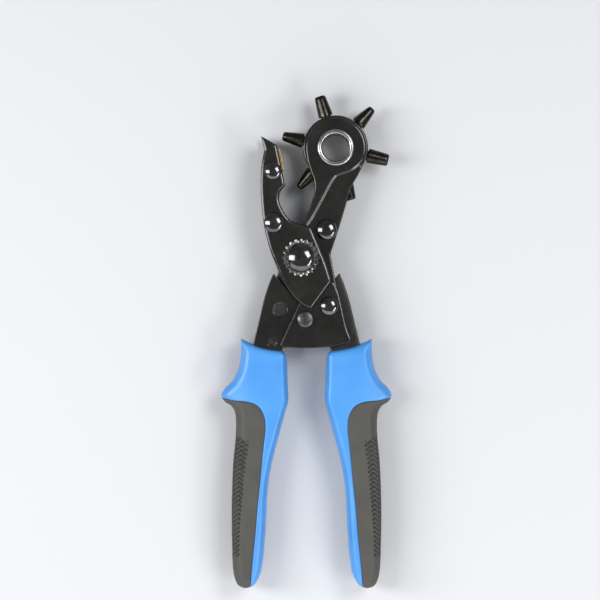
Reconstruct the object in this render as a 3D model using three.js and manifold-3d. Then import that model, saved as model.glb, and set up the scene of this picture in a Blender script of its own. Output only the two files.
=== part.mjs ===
// Heavy-duty revolving leather punch: compound-lever pliers with a six-tube punch wheel.
// Millimetres. The tool lies flat on its back, jaws closed: +Y points from the grips to the
// punch wheel, +Z faces up, away from the surface that the tool rests on.
import * as THREE from 'three';
import { mergeVertices } from 'three/addons/utils/BufferGeometryUtils.js';
import Module from 'manifold-3d';

const wasm = await Module();
wasm.setup();

const GAP = 0.3;              // clearance between neighbouring pieces
const PLATE = 1.6;            // sheet thickness of every stamped plate
const CORE_HALF = 3.8;        // half thickness of the solid jaw and handle cores
const ROUND_STEPS = 20;       // facets round a full circle
const DOME_STEPS = 3;         // facets from the rim of a rivet's dome to its crown
const EYE_STEPS = 5;          // facets round the eye of a link
const STRAIGHT = 0.004;       // sine of the smallest turn that counts as a corner
const THROUGH = 20;           // half height of a cutter that passes through everything

// Pivots and rivets in plan, measured from the main pivot
const MAIN = [0, 0];
const WHEEL = [16.9, 53.8];
const HANDLE_PIVOT = [2.1, -29.9];
const RIGHT_LINK = [13.7, -23.5];
const LEFT_JAW_RIVET = [-13.2, 17];
const RIGHT_JAW_RIVET = [12.5, 13.7];
const ANVIL_RIVET = [-13.6, 42.1];
const MAIN_SHANK = 4;
const LINK_SHANK = 3;
const JAW_SHANK = 2.6;
const SPRING_SEAT = [-14, -41.4];
const SEAT_SHANK = 1.6;
const LOOSE_FIT = 0.6;        // room round the handle pivot, where the linkage closes on itself

// Rivets: radius of the head, and how far it stands up in front and behind
const MAIN_HEAD = { head: 7, front: 3.4, rear: 1.5 };
const LEFT_JAW_HEAD = { head: 5, front: 2.6, rear: 1.4 };
const RIGHT_JAW_HEAD = { head: 5.1, front: 2.6, rear: 1.4 };
const ANVIL_HEAD = { head: 4.2, front: 2.2, rear: 1.4 };
const RIGHT_LINK_HEAD = { head: 4.6, front: 2.5, rear: 1.4 };
const HANDLE_PIVOT_HEAD = { head: 4, front: 1.4, rear: 1.2 };

// Spacers round the rivets, and the eyes of the levers
const LEFT_JAW_SPACER = 5;
const RIGHT_JAW_SPACER = 5.4;
const ANVIL_SPACER = 4.2;
const PIVOT_SPACER = 8.8;
const ANVIL_JAW_EYES = [9, 5.2];       // at the main pivot, at the left link pin
const WHEEL_JAW_EYES = [9.4, 5.5];     // at the main pivot, at the right link rivet
const LEFT_HANDLE_EYES = [6, 6];       // at the left link pin, at the handle pivot
const RIGHT_HANDLE_EYES = [5.5, 5.8];  // at the right link rivet, at the handle pivot

// Serrated washers under the main rivet's heads
const WASHER_TEETH = 20;
const WASHER_OUTER = 9.1;
const WASHER_VALLEY = 8.5;
const WASHER_HEIGHT = 0.8;

// Punch wheel
const EYELET_BORE = 6.6;
const EYELET_WALL = 0.7;
const EYELET_FLANGE = 9;
const FLANGE_THICKNESS = 1.2;
const FLANGE_ROLL = 0.4;      // how far the flange's edges are rolled over
const HUB_RADIUS = 15.9;
const HUB_CHAMFER = 0.8;
const HUB_BOSS_RADIUS = 13.3;
const HUB_BOSS_SLOPE = 0.3;
const HUB_BOSS_HALF = 4.6;
const STRAP_RADIUS = 14.5;
const STRAP_RAISE = 0.8;      // how far the strap is pressed up to clear the hub's boss
const TUBE_TIP = 26.5;        // wheel centre to cutting edge
const TUBE_BASE_RADIUS = 3.6;
const TUBE_THREAD_RADIUS = 2.5;
const TUBE_THREAD_LENGTH = 12;
const TUBE_ROOT = 10.6;       // wheel centre to the inner end of a tube's thread
const TUBE_EDGE = 0.15;       // wall at the cutting edge
const TUBE_WALL = 0.75;       // wall just behind the cutting edge
const TUBE_BEVEL = 0.8;       // length of the bevel behind the cutting edge
const SLUG_BORE = 0.9;        // radius of the narrow bore behind the punched hole
const SLUG_SHOULDERS = [1, 2]; // where the bore widens, outwards from the hub's rim
const TUBE_HOLES = [3, 4, 2.5, 4.5, 3.5, 2];   // diameters that the tubes cut
const FIRST_TUBE_ANGLE = 167; // degrees, counter-clockwise from +X
const TUBE_PITCH = -60;
const TUBE_STEPS = 14;
const PUNCH_ANGLE = 191.9;    // the direction in which a tube meets the anvil
const ANVIL_THICKNESS = 2.2;
const ANVIL_WIDTH = 11;
const ANVIL_HEIGHT = 7.6;
const PLATE_RECESS = 27.9;    // wheel centre to the edge of the plates beside the anvil
const CORE_SEAT = 29.4;       // wheel centre to the core's face behind the anvil

// Return spring
const SPRING_WIRE = 0.5;
const SPRING_SIDES = 5;
const SPRING_LENGTH = 18;
const SPRING_TURNS = 6;
const SPRING_STEPS = 10;      // facets in each turn
const SPRING_RADIUS = 2.5;

// Handles and grips
const TANG_END = -135;
const GRIP_HALF = 8.5;
const GRIP_ROUND = 2.6;
const GRIP_SPINE_HALF = 6.6;
const GRIP_AXIS_X = 2.7;      // the two grips mirror each other about this line

const black = { color: 0x17160f, roughness: 0.32, metalness: 0.75 };
const domed = { color: 0x3a3a38, roughness: 0.22, metalness: 0.9 };
const bright = { color: 0xc9c7c2, roughness: 0.2, metalness: 1 };
const brass = { color: 0xb8924a, roughness: 0.35, metalness: 1 };
const blue = { color: 0x3f93e8, roughness: 0.4, metalness: 0 };
const rubber = { color: 0x35332f, roughness: 0.75, metalness: 0 };

const tool = new THREE.Group();

const add = (name, geometry, finish) => {
  const mesh = new THREE.Mesh(geometry, new THREE.MeshStandardMaterial(finish));
  mesh.name = name;
  tool.add(mesh);
};

const solidOf = (geometry) => {
  geometry.deleteAttribute('normal');
  geometry.deleteAttribute('uv');
  const merged = mergeVertices(geometry, 1e-4);
  const index = merged.index.array;
  const kept = [];
  for (let i = 0; i < index.length; i += 3) {
    const [a, b, c] = [index[i], index[i + 1], index[i + 2]];
    if (a !== b && b !== c && c !== a) kept.push(a, b, c);
  }
  return new wasm.Manifold(new wasm.Mesh({
    numProp: 3,
    vertProperties: merged.attributes.position.array,
    triVerts: new Uint32Array(kept),
  }));
};

const geometryOf = (solid) => {
  const mesh = solid.getMesh();
  const geometry = new THREE.BufferGeometry();
  geometry.setAttribute('position', new THREE.BufferAttribute(mesh.vertProperties, 3));
  geometry.setIndex(new THREE.BufferAttribute(mesh.triVerts, 1));
  geometry.computeVertexNormals();
  return geometry;
};

const joined = (...solids) => solids.reduce((whole, piece) => whole.add(piece));
const cut = (whole, ...tools) => tools.reduce((left, piece) => left.subtract(piece), whole);

const disc = ([x, y], radius, bottom, top) => {
  const geometry = new THREE.CylinderGeometry(radius, radius, top - bottom, ROUND_STEPS);
  geometry.rotateX(Math.PI / 2);
  geometry.translate(x, y, (bottom + top) / 2);
  return solidOf(geometry);
};

// The points of an outline, counter-clockwise, without those that lie on a straight stretch
const corners = (shape, steps = 2) => {
  const points = shape.getPoints(steps);
  if (THREE.ShapeUtils.isClockWise(points)) points.reverse();
  const distinct = points.filter((point, i) => (
    point.distanceTo(points[(i + points.length - 1) % points.length]) > 0.01
  ));
  return distinct.filter((point, i) => {
    const before = distinct[(i + distinct.length - 1) % distinct.length];
    const after = distinct[(i + 1) % distinct.length];
    const arriving = point.clone().sub(before).normalize();
    const leaving = after.clone().sub(point).normalize();
    return Math.abs(arriving.cross(leaving)) > STRAIGHT;
  });
};

const slab = (shape, bottom, top, steps = 2) => {
  const geometry = new THREE.ExtrudeGeometry(new THREE.Shape(corners(shape, steps)), {
    depth: top - bottom, bevelEnabled: false,
  });
  geometry.translate(0, 0, bottom);
  return solidOf(geometry);
};

// A profile of [radius, height] points turned about a vertical axis through a plan point
const turned = (profile, [x, y] = [0, 0]) => {
  const points = profile.map(([radius, height]) => new THREE.Vector2(radius, height));
  const geometry = new THREE.LatheGeometry(points, ROUND_STEPS);
  geometry.rotateX(Math.PI / 2);
  geometry.translate(x, y, 0);
  return geometry;
};

// A closed outline from corners and curves: each entry is one corner [x, y] or a list of
// points that a smooth curve runs through
const outline = (parts, place = (point) => point) => {
  const shape = new THREE.Shape();
  parts.forEach((part, i) => {
    const points = (Array.isArray(part[0]) ? part : [part]).map((p) => new THREE.Vector2(...place(p)));
    if (i === 0) shape.moveTo(points[0].x, points[0].y);
    else shape.lineTo(points[0].x, points[0].y);
    if (points.length > 1) shape.splineThru(points.slice(1));
  });
  return shape;
};

// Two round eyes joined by their outer tangents
const link = ([ax, ay], [bx, by], [aRadius, bRadius]) => {
  const heading = Math.atan2(by - ay, bx - ax);
  const spread = Math.acos((aRadius - bRadius) / Math.hypot(bx - ax, by - ay));
  const shape = new THREE.Shape();
  shape.absarc(ax, ay, aRadius, heading + spread, heading - spread + 2 * Math.PI, false);
  shape.absarc(bx, by, bRadius, heading - spread, heading + spread, false);
  return shape;
};

// A simple outline moved outwards by a distance, corner by corner
const grown = (shape, distance) => {
  const points = corners(shape);
  const moved = points.map((point, i) => {
    const before = points[(i + points.length - 1) % points.length];
    const after = points[(i + 1) % points.length];
    const along = after.clone().sub(before).normalize();
    return point.clone().add(new THREE.Vector2(along.y, -along.x).multiplyScalar(distance));
  });
  return new THREE.Shape(moved);
};

const mirrored = ([x, y]) => [2 * GRIP_AXIS_X - x, y];
const asDrawn = (point) => point;

// A point given by its distance from the wheel centre along the punching direction, and sideways
const alongPunch = (distance, side) => {
  const angle = THREE.MathUtils.degToRad(PUNCH_ANGLE);
  return [
    WHEEL[0] + distance * Math.cos(angle) - side * Math.sin(angle),
    WHEEL[1] + distance * Math.sin(angle) + side * Math.cos(angle),
  ];
};

// The left link pin mirrors the right one about the line from the main pivot to the handle pivot
const axisLength = Math.hypot(...HANDLE_PIVOT);
const axisX = HANDLE_PIVOT[0] / axisLength;
const axisY = HANDLE_PIVOT[1] / axisLength;
const reach = RIGHT_LINK[0] * axisX + RIGHT_LINK[1] * axisY;
const LEFT_LINK = [2 * reach * axisX - RIGHT_LINK[0], 2 * reach * axisY - RIGHT_LINK[1]];

// Plates stack outwards from the cores: 0 next to the core, then 1, then 2 outermost
const levelBottom = (n) => CORE_HALF + GAP + n * (PLATE + GAP);
const levelTop = (n) => levelBottom(n) + PLATE;

// The same stretch of height on the front face, or turned over to the back
const sides = [
  { name: 'front', span: (low, high) => [low, high] },
  { name: 'rear', span: (low, high) => [-high, -low] },
];

// Room that a rivet leaves in a plate
const hole = (at, shank, room = GAP) => disc(at, shank + room, -THROUGH, THROUGH);

// A rivet through everything between a face and its twin behind, with a domed head at each end
const rivet = (at, shank, face, { head, front, rear }) => {
  const profile = [];
  for (let i = 0; i <= DOME_STEPS; i += 1) {
    const turn = (i / DOME_STEPS) * (Math.PI / 2);
    profile.push([head * Math.sin(turn), -face - rear * Math.cos(turn)]);
  }
  profile.push([shank, -face], [shank, face]);
  for (let i = DOME_STEPS; i >= 0; i -= 1) {
    const turn = (i / DOME_STEPS) * (Math.PI / 2);
    profile.push([head * Math.sin(turn), face + front * Math.cos(turn)]);
  }
  return turned(profile, at);
};

const ring = (at, inner, outer, low, high) => turned(
  [[inner, low], [outer, low], [outer, high], [inner, high], [inner, low]], at,
);

const anvilPlateOutline = outline([
  [-19.6, 59.3],
  alongPunch(PLATE_RECESS, -7),
  alongPunch(PLATE_RECESS, 10),
  [-7.9, 35.4],
  [[-10.4, 33], [-10.8, 28.5], [-9.6, 24.6], [-7, 20.2], [-3.4, 17.2], [1.5, 15.7]],
  [4.9, 14.7],
  [[7.4, 8.8], [9.8, 2.9], [12.3, -3.4], [14.7, -11.2]],
  [5.4, -24],
  [4.2, -24.5],
  [[-1.5, -21], [-7.8, -13], [-12.2, -3.5], [-15.7, 5.9], [-18.4, 18], [-19.7, 34], [-19.2, 45]],
  [-17.8, 52.5],
]);

const anvilCoreOutline = outline([
  [-18.6, 57.6],
  alongPunch(CORE_SEAT, -6.4),
  alongPunch(CORE_SEAT, 7.2),
  [-9, 35.6],
  [[-11.1, 32.5], [-11.4, 28], [-10.2, 23.8], [-7.6, 19.6], [-4, 13]],
  [0, 0],
  [[-9.5, -2], [-15, 6], [-17.8, 18], [-19.1, 34], [-18.6, 45]],
  [-17.1, 52.5],
]);

const anvilJawCore = cut(
  joined(
    slab(anvilCoreOutline, -CORE_HALF, CORE_HALF),
    slab(link(MAIN, LEFT_LINK, ANVIL_JAW_EYES), -CORE_HALF, CORE_HALF, EYE_STEPS),
  ),
  hole(MAIN, MAIN_SHANK),
  hole(LEFT_LINK, LINK_SHANK),
  hole(LEFT_JAW_RIVET, JAW_SHANK),
  hole(ANVIL_RIVET, JAW_SHANK),
);
add('anvil_jaw_core', geometryOf(anvilJawCore), black);

for (const { name, span } of sides) {
  const plate = cut(
    slab(anvilPlateOutline, ...span(levelBottom(2), levelTop(2))),
    hole(MAIN, MAIN_SHANK),
    hole(LEFT_JAW_RIVET, JAW_SHANK),
    hole(ANVIL_RIVET, JAW_SHANK),
  );
  add(`anvil_jaw_${name}_plate`, geometryOf(plate), black);
  const spacerSpan = span(levelBottom(0), levelTop(1));
  const jawSpacer = ring(LEFT_JAW_RIVET, JAW_SHANK + GAP, LEFT_JAW_SPACER, ...spacerSpan);
  add(`${name}_jaw_spacer`, jawSpacer, black);
  const anvilSpacer = ring(ANVIL_RIVET, JAW_SHANK + GAP, ANVIL_SPACER, ...spacerSpan);
  add(`${name}_anvil_spacer`, anvilSpacer, black);
  const pivotSpan = span(levelBottom(1), levelTop(1));
  add(`${name}_pivot_spacer`, ring(MAIN, MAIN_SHANK + GAP, PIVOT_SPACER, ...pivotSpan), black);
}

// Anvil pad: a soft-metal block that the tubes close on
const pad = new THREE.BoxGeometry(ANVIL_THICKNESS, ANVIL_WIDTH, ANVIL_HEIGHT);
pad.rotateZ(THREE.MathUtils.degToRad(PUNCH_ANGLE));
pad.translate(...alongPunch(TUBE_TIP + GAP + ANVIL_THICKNESS / 2, 0), 0);
add('anvil_pad', pad, brass);

const outerFace = levelTop(2) + GAP;
add('left_jaw_rivet', rivet(LEFT_JAW_RIVET, JAW_SHANK, outerFace, LEFT_JAW_HEAD), domed);
add('anvil_rivet', rivet(ANVIL_RIVET, JAW_SHANK, outerFace, ANVIL_HEAD), domed);

// The washers' teeth bite into the plates
const washerShape = new THREE.Shape(Array.from({ length: 2 * WASHER_TEETH }, (_, i) => {
  const radius = i % 2 ? WASHER_VALLEY : WASHER_OUTER;
  const turn = (i / WASHER_TEETH) * Math.PI;
  return new THREE.Vector2(MAIN[0] + radius * Math.cos(turn), MAIN[1] + radius * Math.sin(turn));
}));
for (const { name, span } of sides) {
  const washer = slab(washerShape, ...span(outerFace, outerFace + WASHER_HEIGHT));
  add(`${name}_serrated_washer`, geometryOf(cut(washer, hole(MAIN, MAIN_SHANK))), domed);
}
const mainHead = outerFace + WASHER_HEIGHT + GAP;
add('main_rivet', rivet(MAIN, MAIN_SHANK, mainHead, MAIN_HEAD), domed);

// Pins that end flush with the left handle's plates
const flushPin = (radius) => [
  [0, -levelTop(0)], [radius, -levelTop(0)], [radius, levelTop(0)], [0, levelTop(0)],
];
add('left_link_pin', turned(flushPin(LINK_SHANK), LEFT_LINK), domed);

const wheelArmOutline = outline([
  [29.6, 44.2],
  [[28.2, 41], [24.6, 34.6], [22.4, 27.5], [20.4, 20.5], [18.2, 13.4], [15.6, 5.6], [12.6, -3]],
  [0, -6],
  [-7.6, 4],
  [[-5, 9], [-0.4, 14.6], [2.6, 20.3], [5.4, 27.9], [6.6, 33.3], [6.4, 37.5], [5, 41.7]],
  [10, 47],
  [26, 47],
]);

const strapArmOutline = outline([
  [2.6, 51.5],
  [[3.4, 46.6], [5, 41.7], [6.4, 37.5], [6.6, 33.3], [5.4, 27.9], [2.6, 20.3], [0, 15.4]],
  [5, 15.6],
  [16.8, 38.4],
  [20, 44],
]);

for (const { name, span } of sides) {
  const arm = cut(
    joined(
      slab(wheelArmOutline, ...span(levelBottom(0), levelTop(0))),
      slab(link(MAIN, RIGHT_LINK, WHEEL_JAW_EYES), ...span(levelBottom(0), levelTop(0)), EYE_STEPS),
    ),
    hole(WHEEL, HUB_BOSS_RADIUS, 2 * GAP),
  );
  const raised = span(levelBottom(0) + STRAP_RAISE, levelTop(0) + STRAP_RAISE);
  const strap = joined(disc(WHEEL, STRAP_RADIUS, ...raised), slab(strapArmOutline, ...raised));
  const plate = cut(
    joined(arm, strap),
    hole(WHEEL, EYELET_BORE + EYELET_WALL),
    hole(MAIN, MAIN_SHANK),
    hole(RIGHT_JAW_RIVET, JAW_SHANK),
    hole(RIGHT_LINK, LINK_SHANK),
  );
  add(`wheel_jaw_${name}_plate`, geometryOf(plate), black);
}

const armSpacer = ring(RIGHT_JAW_RIVET, JAW_SHANK + GAP, RIGHT_JAW_SPACER, -CORE_HALF, CORE_HALF);
add('wheel_jaw_spacer', armSpacer, black);
const jawFace = levelTop(0) + GAP;
add('right_jaw_rivet', rivet(RIGHT_JAW_RIVET, JAW_SHANK, jawFace, RIGHT_JAW_HEAD), domed);

// A profile on one side of the mid-plane, closed by its mirror image on the other side
const doubled = (half) => {
  const other = half.map(([radius, height]) => [radius, -height]).reverse();
  return [...half, ...other, half[0]];
};

// Hollow eyelet: the axle of the punch wheel, flanged over both straps
const strapTop = levelTop(0) + STRAP_RAISE;
const flangeLow = strapTop + GAP;
const flangeHigh = flangeLow + FLANGE_THICKNESS;
const eyeletOuter = EYELET_BORE + EYELET_WALL;
add('wheel_eyelet', turned(doubled([
  [eyeletOuter, flangeLow],
  [EYELET_FLANGE, flangeLow],
  [EYELET_FLANGE, flangeHigh - FLANGE_ROLL],
  [EYELET_FLANGE - FLANGE_ROLL, flangeHigh],
  [EYELET_BORE + FLANGE_ROLL, flangeHigh],
  [EYELET_BORE, flangeHigh - FLANGE_ROLL],
]), WHEEL), bright);

// Hub of the punch wheel, with a socket for each tube
const bossEdge = HUB_BOSS_RADIUS + HUB_BOSS_SLOPE;
let hub = solidOf(turned(doubled([
  [HUB_RADIUS, CORE_HALF - HUB_CHAMFER],
  [HUB_RADIUS - HUB_CHAMFER, CORE_HALF],
  [bossEdge, CORE_HALF],
  [HUB_BOSS_RADIUS, HUB_BOSS_HALF],
  [eyeletOuter + GAP, HUB_BOSS_HALF],
]), WHEEL));

TUBE_HOLES.forEach((diameter, i) => {
  const turn = THREE.MathUtils.degToRad(FIRST_TUBE_ANGLE + i * TUBE_PITCH);
  const place = (geometry) => {
    geometry.rotateZ(turn - Math.PI / 2);
    geometry.translate(...WHEEL, 0);
    return geometry;
  };
  const bore = diameter / 2;
  const profile = [
    [SLUG_BORE, TUBE_ROOT],
    [TUBE_THREAD_RADIUS, TUBE_ROOT],
    [TUBE_THREAD_RADIUS, HUB_RADIUS + GAP],
    [TUBE_BASE_RADIUS, HUB_RADIUS + GAP],
    [bore + TUBE_WALL, TUBE_TIP - TUBE_BEVEL],
    [bore + TUBE_EDGE, TUBE_TIP],
    [bore, TUBE_TIP],
    [bore, HUB_RADIUS + SLUG_SHOULDERS[1]],
    [SLUG_BORE, HUB_RADIUS + SLUG_SHOULDERS[0]],
    [SLUG_BORE, TUBE_ROOT],
  ].map(([radius, height]) => new THREE.Vector2(radius, height));
  add(`punch_tube_${i + 1}`, place(new THREE.LatheGeometry(profile, TUBE_STEPS)), black);
  const room = TUBE_THREAD_RADIUS + GAP;
  const socket = new THREE.CylinderGeometry(room, room, TUBE_THREAD_LENGTH, TUBE_STEPS);
  socket.translate(0, TUBE_ROOT - GAP + TUBE_THREAD_LENGTH / 2, 0);
  hub = hub.subtract(solidOf(place(socket)));
});
add('wheel_hub', geometryOf(hub), black);

// Top of a handle, and the long tang below it that the grip is moulded round
const handleHead = (place) => outline([
  [-13.4, -7.5],
  [-9.5, -12],
  [1.5, -24.4],
  [2.1, -35.6],
  [-8.4, -42.4],
  [-9.6, -47],
  [-15, -52],
  [-24, -52],
  [[-24.2, -46], [-23.2, -41.3], [-20.8, -31.4], [-18.2, -20.6], [-15.4, -12]],
], place);
const tangOutline = (place) => outline([
  [[-9.6, -44], [-13.6, -54], [-15, -62], [-16.6, -80], [-20, -105], [-22, TANG_END]],
  [[-29, TANG_END], [-28.4, -105], [-25.6, -80], [-24, -62], [-24, -44]],
], place);

// Left handle: two plates that straddle the cores
for (const { name, span } of sides) {
  const height = span(levelBottom(0), levelTop(0));
  const plate = cut(
    joined(
      slab(handleHead(asDrawn), ...height),
      slab(tangOutline(asDrawn), ...height),
      slab(link(LEFT_LINK, HANDLE_PIVOT, LEFT_HANDLE_EYES), ...height, EYE_STEPS),
    ),
    hole(LEFT_LINK, LINK_SHANK),
    hole(SPRING_SEAT, SEAT_SHANK),
    hole(HANDLE_PIVOT, LINK_SHANK, LOOSE_FIT),
  );
  add(`left_handle_${name}_plate`, geometryOf(plate), black);
}

add('spring_seat_pin', turned(flushPin(SEAT_SHANK), SPRING_SEAT), domed);

// Right handle: one thick tang between two cover plates
const rightTang = cut(
  joined(
    slab(handleHead(mirrored), -CORE_HALF, CORE_HALF),
    slab(tangOutline(mirrored), -CORE_HALF, CORE_HALF),
    slab(link(RIGHT_LINK, HANDLE_PIVOT, RIGHT_HANDLE_EYES), -CORE_HALF, CORE_HALF, EYE_STEPS),
  ),
  hole(RIGHT_LINK, LINK_SHANK),
  hole(HANDLE_PIVOT, LINK_SHANK),
);
add('right_handle_tang', geometryOf(rightTang), black);

const coverOutline = outline([
  [15.8, -11.8],
  [[18.2, -17], [20.3, -26], [22.2, -34], [24.4, -40]],
  [[22.6, -41.6], [13.7, -43.4], [2, -44.1], [-8.8, -43.6]],
  [-10.4, -42.6],
  [-1.2, -22.6],
  [[1.2, -17.6], [4.2, -13.6], [9, -11.6]],
]);
for (const { name, span } of sides) {
  const cover = cut(
    slab(coverOutline, ...span(levelBottom(1), levelTop(1))),
    hole(RIGHT_LINK, LINK_SHANK),
    hole(HANDLE_PIVOT, LINK_SHANK),
  );
  add(`right_handle_${name}_cover`, geometryOf(cover), black);
}
const coverFace = levelTop(1) + GAP;
add('right_link_rivet', rivet(RIGHT_LINK, LINK_SHANK, coverFace, RIGHT_LINK_HEAD), domed);
add('handle_pivot_rivet', rivet(HANDLE_PIVOT, LINK_SHANK, coverFace, HANDLE_PIVOT_HEAD), domed);

// Return spring: a coil that pushes the two handles apart below their pivot
const SPRING_START = SPRING_SEAT[0] + SEAT_SHANK + SPRING_WIRE + GAP;
class Coil extends THREE.Curve {
  getPoint(t) {
    const turn = 2 * Math.PI * SPRING_TURNS * t;
    return new THREE.Vector3(
      SPRING_START + SPRING_LENGTH * t,
      SPRING_SEAT[1] + SPRING_RADIUS * Math.cos(turn),
      SPRING_RADIUS * Math.sin(turn),
    );
  }
}
const wire = new THREE.Shape(Array.from({ length: SPRING_SIDES }, (_, i) => {
  const turn = (i / SPRING_SIDES) * 2 * Math.PI;
  return new THREE.Vector2(SPRING_WIRE * Math.cos(turn), SPRING_WIRE * Math.sin(turn));
}));
const springGeometry = new THREE.ExtrudeGeometry(wire, {
  steps: SPRING_TURNS * SPRING_STEPS, extrudePath: new Coil(),
});
add('return_spring', springGeometry, bright);

// Outline of the left grip: flat top edge under the handle plates, finger guard on the outside
const gripOutline = (place) => outline([
  [-29.3, -39.6],
  [[-21.2, -43.2], [-15, -44.7], [-9.6, -45.4]],
  [[-7.1, -48.4], [-6.5, -61.7], [-6.2, -69.5], [-7.6, -75], [-10.9, -87.2], [-14.4, -101], [-16.4, -114.7],
    [-17.4, -134], [-19.2, -152], [-22.4, -159.4], [-27, -161.7], [-31.2, -159.6], [-33.2, -153],
    [-33.8, -140], [-34, -121.5], [-33.3, -101], [-32, -87], [-32, -77.6], [-33.6, -73], [-37, -70.6],
    [-39, -67.4], [-37.2, -63.6], [-33.4, -59.8], [-30.6, -54], [-29.4, -47]],
], place);

const coverZone = (place) => outline([
  [-45, -68.4],
  [-37.6, -68.4],
  [[-32.3, -69.6], [-25.5, -70.3], [-20.6, -72.6], [-17.9, -77.5], [-17.4, -84], [-18.5, -94],
    [-19.8, -108], [-21.2, -121.5], [-22.2, -134], [-23.6, -148], [-24.4, -157]],
  [-24.8, -170],
  [-45, -170],
], place);

// The hard core runs on inside the soft cover as a spine
const spineOutline = (place) => outline([
  [-28, -66],
  [-15, -66],
  [[-15.4, -84], [-16.5, -94], [-17.8, -108], [-19.2, -121.5], [-20.2, -134], [-21.6, -148]],
  [-23.4, -156],
  [-27, -157.8],
  [-29.6, -156],
  [[-30.6, -150], [-31.2, -140], [-31.4, -121.5], [-30.7, -101], [-29.4, -87], [-28.8, -77]],
], place);

const gripBody = (place) => {
  const geometry = new THREE.ExtrudeGeometry(new THREE.Shape(corners(gripOutline(place), 2)), {
    depth: 2 * (GRIP_HALF - GRIP_ROUND),
    bevelThickness: GRIP_ROUND,
    bevelSize: GRIP_ROUND,
    bevelOffset: -GRIP_ROUND,
    bevelSegments: 2,
  });
  geometry.translate(0, 0, GRIP_ROUND - GRIP_HALF);
  return solidOf(geometry);
};

const platePockets = sides.map(({ span }) => span(levelBottom(0) - GAP, levelTop(0) + GAP));
const tangPocket = [-CORE_HALF - GAP, CORE_HALF + GAP];
const handles = [
  { side: 'left', place: asDrawn, pockets: platePockets },
  { side: 'right', place: mirrored, pockets: [tangPocket] },
];
for (const { side, place, pockets } of handles) {
  const body = gripBody(place);
  const spine = spineOutline(place);
  const tangRoom = grown(tangOutline(place), GAP);
  const headRoom = grown(handleHead(place), GAP);
  const core = joined(
    body.subtract(slab(grown(coverZone(place), GAP), -THROUGH, THROUGH)),
    slab(spine, -GRIP_SPINE_HALF, GRIP_SPINE_HALF),
  );
  const pocketed = pockets.reduce((left, [low, high]) => (
    cut(left, slab(tangRoom, low, high), slab(headRoom, low, high))
  ), core);
  add(`${side}_grip_core`, geometryOf(pocketed), blue);
  const cover = cut(
    body.intersect(slab(coverZone(place), -THROUGH, THROUGH)),
    slab(grown(spine, GAP), -GRIP_SPINE_HALF - GAP, GRIP_SPINE_HALF + GAP),
  );
  add(`${side}_grip_cover`, geometryOf(cover), rubber);
}

// The frame's origin is the middle of the tool's footprint, on the surface it lies on
const extent = new THREE.Box3().setFromObject(tool);
const middle = extent.getCenter(new THREE.Vector3());
tool.position.set(-middle.x, -middle.y, -extent.min.z);

export default tool;
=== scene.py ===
import math

import bmesh
import bpy
import numpy as np
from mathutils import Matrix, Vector
from mathutils.geometry import delaunay_2d_cdt


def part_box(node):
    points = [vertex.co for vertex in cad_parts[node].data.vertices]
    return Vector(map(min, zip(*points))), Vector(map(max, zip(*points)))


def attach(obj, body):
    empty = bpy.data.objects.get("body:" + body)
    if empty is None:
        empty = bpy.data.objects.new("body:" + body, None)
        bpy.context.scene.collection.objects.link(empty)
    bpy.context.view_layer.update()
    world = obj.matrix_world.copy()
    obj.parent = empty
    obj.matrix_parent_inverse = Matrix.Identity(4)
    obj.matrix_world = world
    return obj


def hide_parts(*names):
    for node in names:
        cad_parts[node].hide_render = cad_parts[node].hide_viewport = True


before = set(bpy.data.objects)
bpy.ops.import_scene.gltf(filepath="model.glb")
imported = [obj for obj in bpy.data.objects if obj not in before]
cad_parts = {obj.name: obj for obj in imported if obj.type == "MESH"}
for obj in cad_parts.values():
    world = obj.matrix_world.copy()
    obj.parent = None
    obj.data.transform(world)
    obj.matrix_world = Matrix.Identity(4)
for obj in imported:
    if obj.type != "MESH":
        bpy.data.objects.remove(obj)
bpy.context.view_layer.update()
mm = 0.001


def middleOf(node):
    low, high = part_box(node)
    return np.array((low + high) / 2) / mm


# all shapes below are drawn in millimetres from the main pivot, with height 0 half way through the tool
origin = np.array([*middleOf("main_rivet")[:2], middleOf("wheel_hub")[2]])


def planOf(node):
    return (middleOf(node) - origin)[:2]


pivot = {
    "main": np.zeros(2), "wheel": planOf("wheel_eyelet"), "leftLink": planOf("left_link_pin"),
    "rightLink": planOf("right_link_rivet"), "handle": planOf("handle_pivot_rivet"),
    "leftJaw": planOf("left_jaw_rivet"), "rightJaw": planOf("right_jaw_rivet"),
    "anvilRivet": planOf("anvil_rivet"), "springSeat": planOf("spring_seat_pin"),
}
stack = {"sheet": 1.6, "gap": 0.3, "coreHalf": 3.8}   # plates lie outside the cores, one level on the next
punchAngle = math.radians(191.9)                      # the way a tube points when it meets the anvil
gripMirror = 2.7                                      # the two grips mirror each other about this line


def levelLow(n):
    return stack["coreHalf"] + stack["gap"] + n * (stack["sheet"] + stack["gap"])


def levelHigh(n):
    return levelLow(n) + stack["sheet"]


def mirrored(points):
    return np.asarray(points, float) * [-1, 1] + [2 * gripMirror, 0]


def asDrawn(points):
    return np.asarray(points, float)


def alongPunch(distance, side):
    c, s = math.cos(punchAngle), math.sin(punchAngle)
    return pivot["wheel"] + [distance * c - side * s, distance * s + side * c]


# curves in plan


# smooth run through points: each span is a cubic whose end slopes are half the step between its neighbours
def curve(points, perSpan=16):
    p = np.asarray(points, float)
    padded = np.vstack([p[:1], p, p[-1:]])
    t = np.linspace(0, 1, perSpan, endpoint=False)[None, :, None]
    p0, p1, p2, p3 = (padded[i:len(p) - 1 + i, None, :] for i in range(4))
    v0, v1 = (p2 - p0) / 2, (p3 - p1) / 2
    spans = (2 * p1 - 2 * p2 + v0 + v1) * t ** 3 + (3 * p2 - 3 * p1 - 2 * v0 - v1) * t ** 2 + v0 * t + p1
    return np.vstack([spans.reshape(-1, 2), p[-1:]])


# part of a circle, from one angle in degrees to another
def arc(centre, radius, start, end, steps=48):
    a = np.radians(np.linspace(start, end, steps))
    return np.asarray(centre) + radius * np.stack([np.cos(a), np.sin(a)], 1)


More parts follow.
